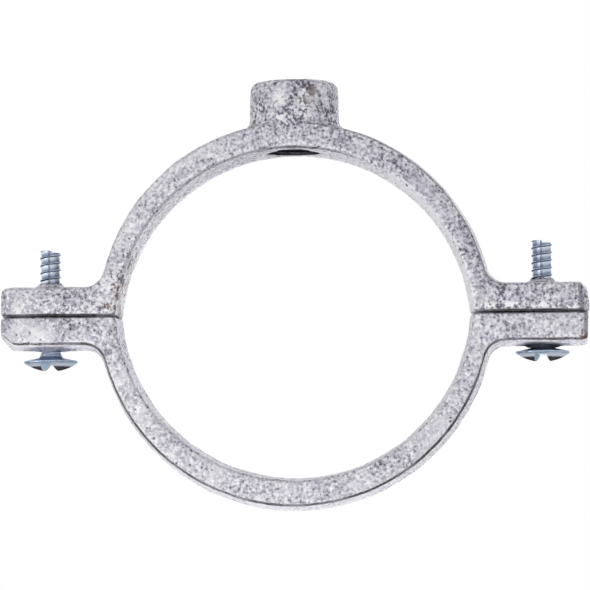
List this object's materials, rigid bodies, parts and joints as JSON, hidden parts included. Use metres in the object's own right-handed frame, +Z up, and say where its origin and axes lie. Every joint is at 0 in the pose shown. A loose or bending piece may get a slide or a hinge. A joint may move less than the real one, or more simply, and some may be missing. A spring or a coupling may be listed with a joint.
{
  "type": "split ring hanger",
  "caption": "Split ring hanger: galvanised cast half rings screwed together at their ears round a pipe, with a threaded boss on the crown for a hanging rod.",
  "frame": {"origin": "on the pipe's axis, midway along the band's width and midway between the split faces", "axes": "+X along the ears, +Y along the pipe, away from the viewer of the picture, +Z up along the hanging rod"},
  "size_m": [0.1502, 0.023, 0.1093],
  "materials": {
    "galvanised_iron": "hot-dip galvanised, light grey and mottled",
    "zinc_plated_steel": "bright bluish zinc plate"
  },
  "bodies": {
    "upper": {"upper_half": "galvanised_iron"},
    "lower": {"lower_half": "galvanised_iron"},
    "left_screw": {"screw_left": "zinc_plated_steel"},
    "right_screw": {"screw_right": "zinc_plated_steel"}
  },
  "joints": [
    {"name": "ring_opening", "type": "slide", "parent": "upper", "child": "lower", "axis": [0, 0, -1], "range_m": [0, 0.017]},
    {"name": "left_screw_turn", "type": "hinge", "parent": "lower", "child": "left_screw", "pos_m": [-0.06265, 0, 0], "axis": [0, 0, -1], "range_deg": [0, 3230]},
    {"name": "right_screw_turn", "type": "hinge", "parent": "lower", "child": "right_screw", "pos_m": [0.06265, 0, 0], "axis": [0, 0, -1], "range_deg": [0, 3230]}
  ],
  "couplings": [
    {"joint": "left_screw_turn", "follows": "ring_opening", "rad_per_m": 3306.9},
    {"joint": "right_screw_turn", "follows": "ring_opening", "rad_per_m": 3306.9}
  ]
}
